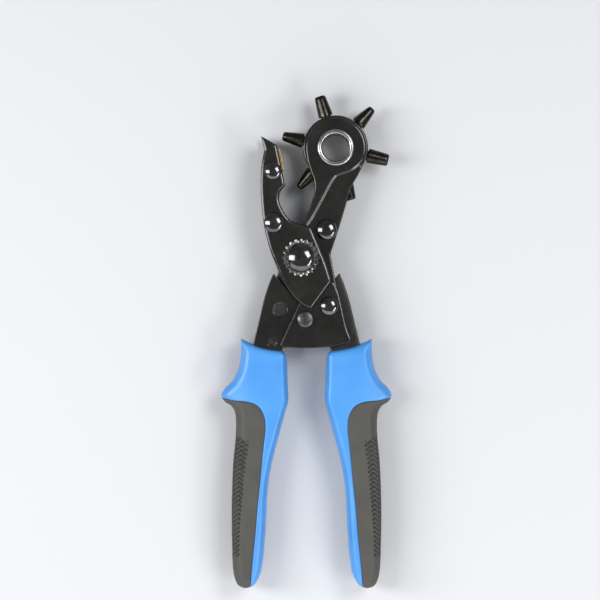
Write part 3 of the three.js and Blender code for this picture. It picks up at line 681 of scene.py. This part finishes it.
# the flange is rolled over in half an ellipse from its outer edge to the bore
roll = np.linspace(0, math.pi, 28)
rollMiddle, rollHalf = (eyelet["flange"] + eyelet["bore"]) / 2, (eyelet["flange"] - eyelet["bore"]) / 2
rollFoot = eyelet["low"] + 0.25
crown = np.column_stack([rollMiddle + rollHalf * np.cos(roll),
                         rollFoot + (eyelet["high"] - rollFoot) * np.sin(roll)])
barrel = eyelet["bore"] + eyelet["wall"]
upper = np.vstack([[[barrel, 0], [barrel, eyelet["low"]], [eyelet["flange"], eyelet["low"]]], crown,
                   [[eyelet["bore"], 0]]])
profile = np.vstack([upper, upper[1:-1][::-1] * [1, -1]])
points = turned(profile, [*pivot["wheel"], 0], steps=120)
makePiece("wheel_eyelet_rolled", points, [gridFaces(len(profile), 120, True, True)], "wheel_jaw",
          ["wheel_eyelet"], eyeletFinish, sharp=60)

hub = {"inner": 7.6, "radius": 15.9, "half": 3.8, "boss": 13.3, "bossHalf": 4.6, "slope": 0.3, "chamfer": 0.8,
       "firstTube": 167.0, "pitch": -60.0, "holes": [3, 4, 2.5, 4.5, 3.5, 2]}
# raised boss, flat face and a quarter-circle corner, doubled below
faceRadii = np.linspace(hub["boss"] + 2 * hub["slope"], hub["radius"] - hub["chamfer"], 5)
bevelTurn = np.linspace(0, math.pi / 2, 6)
boss = [[hub["inner"], hub["bossHalf"]], [hub["boss"], hub["bossHalf"]],
        [hub["boss"] + hub["slope"], hub["half"]]]
corner = np.column_stack([hub["radius"] - hub["chamfer"] * (1 - np.sin(bevelTurn)),
                          hub["half"] - hub["chamfer"] * (1 - np.cos(bevelTurn))])
upper = np.vstack([boss, np.column_stack([faceRadii, np.full(5, hub["half"])]), corner[1:]])
profile = np.vstack([upper, upper[::-1] * [1, -1]])
points = turned(profile, [*pivot["wheel"], 0], steps=180)
rimWear = np.repeat(profile[:, 0] > hub["radius"] - 0.5, 180) * 0.55
makePiece("wheel_hub_turned", points, [gridFaces(len(profile), 180, True, True)], "punch_wheel",
          ["wheel_hub"], hubFinish, rimWear)

tube = {"root": 10.9, "seat": 15.7, "thread": 2.5, "base": 3.6, "collar": 1.1, "tip": 26.5, "mouth": 0.8,
        "wall": 0.75, "slug": 0.9}
# a plain root in the hub, a cone that narrows with the power 1.1 of the distance, a sharpened mouth
# and the bore
for index, hole in enumerate(hub["holes"]):
    angle = math.radians(hub["firstTube"] + index * hub["pitch"])
    axis = np.array([math.cos(angle), math.sin(angle), 0])
    bore, tipOuter = hole / 2, hole / 2 + tube["wall"]
    taper = np.linspace(0, 1, 10)
    coneStart, coneEnd = tube["seat"] + tube["collar"], tube["tip"] - tube["mouth"]
    cone = np.column_stack([tube["base"] + (tipOuter - tube["base"]) * taper ** 1.1,
                            coneStart + (coneEnd - coneStart) * taper])
    profile = np.vstack([
        [[tube["slug"], tube["root"]], [tube["thread"], tube["root"]], [tube["thread"], tube["seat"] + 0.5],
         [tube["base"] - 0.3, tube["seat"] + 0.5], [tube["base"], tube["seat"] + 0.7]], cone,
        [[tipOuter - 0.12, tube["tip"] - 0.55], [bore + 0.15, tube["tip"]], [bore, tube["tip"] - 0.05],
         [bore, hub["radius"] + 2], [tube["slug"], hub["radius"] + 1]]])
    points = turned(profile, [*pivot["wheel"], 0], axis=axis, steps=56)
    makePiece(f"punch_tube_{index + 1}_tapered", points, [gridFaces(len(profile), 56, True, True)],
              "punch_wheel", [f"punch_tube_{index + 1}"], tubeFinish)
print("punch wheel ready")

# return spring

spring = {"wire": 0.5, "turns": 6.0, "length": 18.0, "radius": 2.5, "offset": 2.4, "slowing": 0.045,
          "steps": 24, "sides": 12}
count = int(spring["turns"] * spring["steps"]) + 1
share = np.linspace(0, 1, count)
turn = 2 * math.pi * spring["turns"] * share
# a helix whose advance is slowed by a sine near both ends, with a round wire section carried along it
slowed = share - spring["slowing"] * np.sin(2 * math.pi * share)
advance = spring["wire"] + (spring["length"] - 2 * spring["wire"]) * slowed
path = np.column_stack([pivot["springSeat"][0] + spring["offset"] + advance,
                        pivot["springSeat"][1] + spring["radius"] * np.cos(turn),
                        spring["radius"] * np.sin(turn)])
along = np.gradient(path, axis=0)
along /= np.linalg.norm(along, axis=1)[:, None]
outward = np.column_stack([np.zeros(count), np.cos(turn), np.sin(turn)])
sideways = np.cross(along, outward)
a = np.linspace(0, 2 * math.pi, spring["sides"], endpoint=False)[None, :, None]
thick = np.full(count, spring["wire"])
thick[[0, -1]] = 0
ring = thick[:, None, None] * (outward[:, None] * np.cos(a) + sideways[:, None] * np.sin(a))
rows = path[:, None] + ring
rows = np.concatenate([rows[:1], path[0] + ring[1:2], rows[1:-1], path[-1] + ring[-2:-1], rows[-1:]])
coilFaces = gridFaces(len(rows), spring["sides"], closeColumns=True)
makePiece("return_spring_coil", rows.reshape(-1, 3), [coilFaces], "left_handle", ["return_spring"],
          springFinish)
print("return spring ready")

# grips

grip = {
    "top": curve([[-29.3, -39.6], [-21.2, -43.2], [-15, -44.7], [-9.6, -45.4]]),
    "inner": curve([[-9.6, -45.4], [-7.1, -48.4], [-6.5, -61.7], [-6.2, -69.5], [-7.6, -75], [-10.9, -87.2],
                    [-14.4, -101], [-16.4, -114.7], [-17.4, -134], [-19.2, -152], [-22.2, -159.2],
                    [-24.7, -161.1]]),
    "guard": curve([[-29.3, -39.6], [-29.4, -47], [-30.6, -54], [-33.4, -59.8], [-37.2, -63.6],
                    [-38.9, -66.5], [-38.8, -68.4]]),
    "outer": curve([[-38.8, -68.4], [-37, -70.6], [-33.6, -73], [-32, -77.6], [-32, -87], [-33.3, -101],
                    [-34, -121.5], [-33.8, -140], [-33.2, -153], [-31.2, -159.6], [-27.6, -161.6],
                    [-24.7, -161.1]]),
    "seam": curve([[-38.8, -68.4], [-37.4, -68.5], [-32.3, -69.6], [-25.5, -70.3], [-20.6, -72.6],
                   [-17.9, -77.5], [-17.4, -84], [-18.5, -94], [-19.8, -108], [-21.2, -121.5],
                   [-22.2, -134], [-23.6, -148], [-24.4, -157], [-24.7, -161.1]]),
    "half": 8.4, "innerRound": 2.4, "outerRound": 4.6, "crease": 0.1, "power": 2.3, "topPower": 2.4,
    "topReach": 3.0, "guardThin": 0.3, "guardSpread": 7.0, "seamWidth": 0.7, "seamDepth": 0.5,
    "seamRound": 1.0, "ribTop": -86.5, "ribEnd": -146.0, "ribPitch": 2.2, "ribColumn": 3.1, "ribDepth": 1.1,
    "ribWidth": ([-146, -133, -128, -118, -94, -86], [3.6, 4.2, 4.7, 5.5, 6.9, 7.0]),
}
gripEdge = np.vstack([grip["top"], grip["inner"], grip["outer"][::-1], grip["guard"][::-1]])
guardTip = grip["guard"][-1]


# half thickness at a plan point: a squared-off quarter ellipse in from the outline over its rounding width
# (almost a flat wall at the top, where the steel goes in), a faint crease where that ends, thinner out on
# the finger guard, and eased down into the seam between the two mouldings
def gripHeight(plan, rounding):
    away = distanceTo(plan, gripEdge)
    inShare = np.clip(away / rounding, 0, 1)
    nearTop = np.exp(-(distanceTo(plan, grip["top"]) / grip["topReach"]) ** 2)
    power = grip["power"] + grip["topPower"] * nearTop
    roundedOff = (1 - (1 - inShare) ** power) ** (1 / power) * (1 - grip["crease"]) + grip["crease"] * inShare
    nearGuard = np.exp(-((plan - guardTip) ** 2).sum(1) / (2 * grip["guardSpread"] ** 2))
    seamShare = np.clip(1 - distanceTo(plan, grip["seam"]) / grip["seamWidth"], 0, 1)
    seamDrop = grip["seamDepth"] * seamShare ** 2 * np.clip(away / 1.5, 0, 1)
    return grip["half"] * roundedOff * (1 - grip["guardThin"] * nearGuard) - seamDrop


# rows across a moulding from one edge run to the other: close together near both edges, even between
def rowShares(width, roundFrom, roundTo, edgeRows, middleRows):
    phi = np.linspace(0, math.pi / 2, edgeRows)
    near = 1 - np.cos(phi)
    limit = 0.46 * width[:, None]
    first = np.minimum(roundFrom, limit) * near / width[:, None]
    last = 1 - np.minimum(roundTo, limit) * near[::-1] / width[:, None]
    between = np.linspace(0, 1, middleRows + 2)[None, 1:-1]
    middle = first[:, -1:] + (last[:, :1] - first[:, -1:]) * between
    return np.hstack([first, middle, last])


# one moulding: front surface ruled between two edge runs, its mirror image behind, and a wall along the seam
def moulding(fromRun, toRun, fromShares, toShares, rounding, edgeRows, middleRows, wallAt, endRun=None,
             relief=None, wallRows=6):
    start, end = atShare(fromRun, fromShares), atShare(toRun, toShares)
    width = np.maximum(np.linalg.norm(end - start, axis=1), 1e-3)
    t = rowShares(width, rounding[0], rounding[1], edgeRows, middleRows)[:, :, None]
    plan = start[:, None] * (1 - t) + end[:, None] * t
    if endRun is not None:
        # the first station is bent onto the end outline, and the bend fades out over the next stations
        marks = np.linspace(0, 1, 60)
        ends = atShare(endRun, marks)
        bend = np.stack([np.interp(t[0, :, 0], marks, ends[:, k]) for k in (0, 1)], -1) - plan[0]
        fade = np.clip(1 - travelled(start) / 9, 0, 1) ** 2
        plan = plan + fade[:, None, None] * bend[None]
    stations, rows = plan.shape[:2]
    roundWidth = (rounding[2] * (1 - t) + rounding[3] * t)[..., 0]
    z = gripHeight(plan.reshape(-1, 2), roundWidth.ravel()).reshape(stations, rows)
    front = np.dstack([plan, z])
    if relief is not None:
        front = relief(front)
    rim = distanceTo(plan.reshape(-1, 2), gripEdge).reshape(stations, rows) < 1e-4
    front[..., 2][rim] = 0
    rear = front * [1, 1, -1]
    k = np.linspace(0, 1, wallRows + 2)[None, 1:-1, None]
    if wallAt == "to":
        wall = front[:, -1:] * (1 - k) + rear[:, -1:] * k
        whole = np.concatenate([front, wall, rear[:, ::-1]], axis=1)
    else:
        wall = rear[:, :1] * (1 - k) + front[:, :1] * k
        whole = np.concatenate([front, rear[:, ::-1], wall], axis=1)
    return whole


# herringbone ribs on the outer side: ridges whose slant turns over from column to column
def ribbed(front):
    stepLengths = np.linalg.norm(np.diff(front, axis=1), axis=2)
    toRim = np.cumsum(stepLengths[:, ::-1], axis=1)[:, ::-1]
    fromRim = np.concatenate([toRim, np.zeros((len(front), 1))], axis=1)
    y = front[..., 1]
    inPlan = distanceTo(front[..., :2].reshape(-1, 2), grip["outer"]).reshape(y.shape)
    slant = np.abs((fromRim / grip["ribColumn"]) % 2 - 1) * grip["ribColumn"] * 0.75
    ridge = 0.5 + 0.5 * np.cos(2 * math.pi * (y + slant) / grip["ribPitch"])
    inZone = eased((np.interp(y, *grip["ribWidth"]) - inPlan) / 0.5)
    inZone = inZone * eased((grip["ribTop"] - y - 0.35 * np.clip(fromRim - 6, 0, 9)) / 0.8)
    inZone *= eased((y - grip["ribEnd"]) / 0.8)
    du, dv = np.gradient(front, axis=0), np.gradient(front, axis=1)
    normal = np.cross(du, dv)
    normal /= np.maximum(np.linalg.norm(normal, axis=2)[..., None], 1e-9)
    normal *= np.sign(np.where(np.abs(normal[..., 2:]) > 1e-6, normal[..., 2:], 1))
    sunk = inZone * grip["ribDepth"] * (1 - ridge) ** 1.5
    return front - normal * sunk[..., None]


# stations along a moulding, crowded together near its start so that the rounded end is drawn finely
def shareMap(count, at, stops, crowded=0.012):
    first = crowded * (1 - np.cos(np.linspace(0, math.pi / 2, 14)))
    return np.interp(np.concatenate([first, np.linspace(crowded, 1, count)[1:]]), at, stops)


guardAndSeam = np.vstack([grip["guard"], grip["seam"][1:]])
guardShare = travelled(grip["guard"])[-1] / travelled(guardAndSeam)[-1]
coreStops, coverStops = [0, 0.24, 0.42, 1], [0, 0.16, 1]
innerRound, outerRound = grip["innerRound"], grip["outerRound"]
for side, place in (("left", asDrawn), ("right", mirrored)):
    core = moulding(grip["inner"], guardAndSeam, shareMap(230, coreStops, [0, 0.13, 0.21, 1]),
                    shareMap(230, coreStops, [0, guardShare, guardShare + 0.135, 1]),
                    (innerRound, outerRound, innerRound, outerRound), 15, 12, "to",
                    endRun=grip["top"][::-1])
    cover = moulding(grip["seam"], grip["outer"], shareMap(340, coverStops, [0, 0.2, 1]),
                     shareMap(340, coverStops, [0, 0.125, 1]),
                     (grip["seamRound"], outerRound, outerRound, outerRound), 26, 16, "from", relief=ribbed)
    for part, whole, finish, slot in (("core", core, blueFinish, "blue_plastic"),
                                      ("cover", cover, rubberFinish, "black_soft_grip")):
        points = whole.reshape(-1, 3).copy()
        points[:, :2] = place(points[:, :2])
        makePiece(f"{side}_grip_{part}_moulding", points, [gridFaces(*whole.shape[:2], closeColumns=True)],
                  f"{side}_handle", [f"{side}_grip_{part}"], finish, sharp=50)
print("grips ready")

# floor, lights and camera

studio = {"floor": "#BEBFC1", "reach": 3.0, "view": (-3.19, 20.39), "distance": 1.2, "width": 0.294,
          "sensor": 36.0, "aim": (0, 0.02, 0.01)}
floorMesh = bpy.data.meshes.new("studio_floor")
floorCorners = [(x * studio["reach"], y * studio["reach"], 0)
                for x, y in ((-1, -1), (1, -1), (1, 1), (-1, 1))]
floorMesh.from_pydata(floorCorners, [], [(0, 1, 2, 3)])
floor = bpy.data.objects.new("studio_floor", floorMesh)
bpy.context.scene.collection.objects.link(floor)
floorMaterial, floorShader = startMaterial("matte_paper_sweep")[::2]
floorShader.inputs["Base Color"].default_value = hexToLinear(studio["floor"])
floorShader.inputs["Roughness"].default_value = 0.85
floorMesh.materials.append(floorMaterial)

lamps = {
    "left_softbox": {"at": (-0.66, 0.05, 0.64), "size": (0.3, 0.7), "watts": 7.0},
    "right_softbox": {"at": (0.46, 0.3, 0.86), "size": (0.42, 0.34), "watts": 5.0},
    "corner_strip": {"at": (0.58, -0.33, 0.6), "size": (0.4, 0.16), "watts": 2.4},
    "front_fill": {"at": (-0.04, -0.68, 0.365), "size": (2.0, 0.78), "watts": 8.5},
}
for name, lamp in lamps.items():
    light = bpy.data.lights.new(name, "AREA")
    light.shape, (light.size, light.size_y), light.energy = "RECTANGLE", lamp["size"], lamp["watts"]
    holder = bpy.data.objects.new(name, light)
    holder.location = lamp["at"]
    aim = np.array(studio["aim"]) - np.array(lamp["at"])
    holder.rotation_euler = Vector(aim).to_track_quat("-Z", "Y").to_euler()
    bpy.context.scene.collection.objects.link(holder)

world = bpy.data.worlds.new("soft_room")
world.use_nodes = True
world.node_tree.nodes["Background"].inputs["Color"].default_value = (0.9, 0.93, 1.0, 1.0)
world.node_tree.nodes["Background"].inputs["Strength"].default_value = 0.27
bpy.context.scene.world = world
bpy.context.scene.view_settings.view_transform = "Standard"

camera = bpy.data.cameras.new("overhead_camera")
camera.sensor_width = studio["sensor"]
camera.lens = studio["sensor"] * studio["distance"] / studio["width"]
viewer = bpy.data.objects.new("overhead_camera", camera)
viewer.location = (studio["view"][0] * mm, studio["view"][1] * mm, studio["distance"] + origin[2] * mm)
bpy.context.scene.collection.objects.link(viewer)
bpy.context.scene.camera = viewer
print("studio ready")
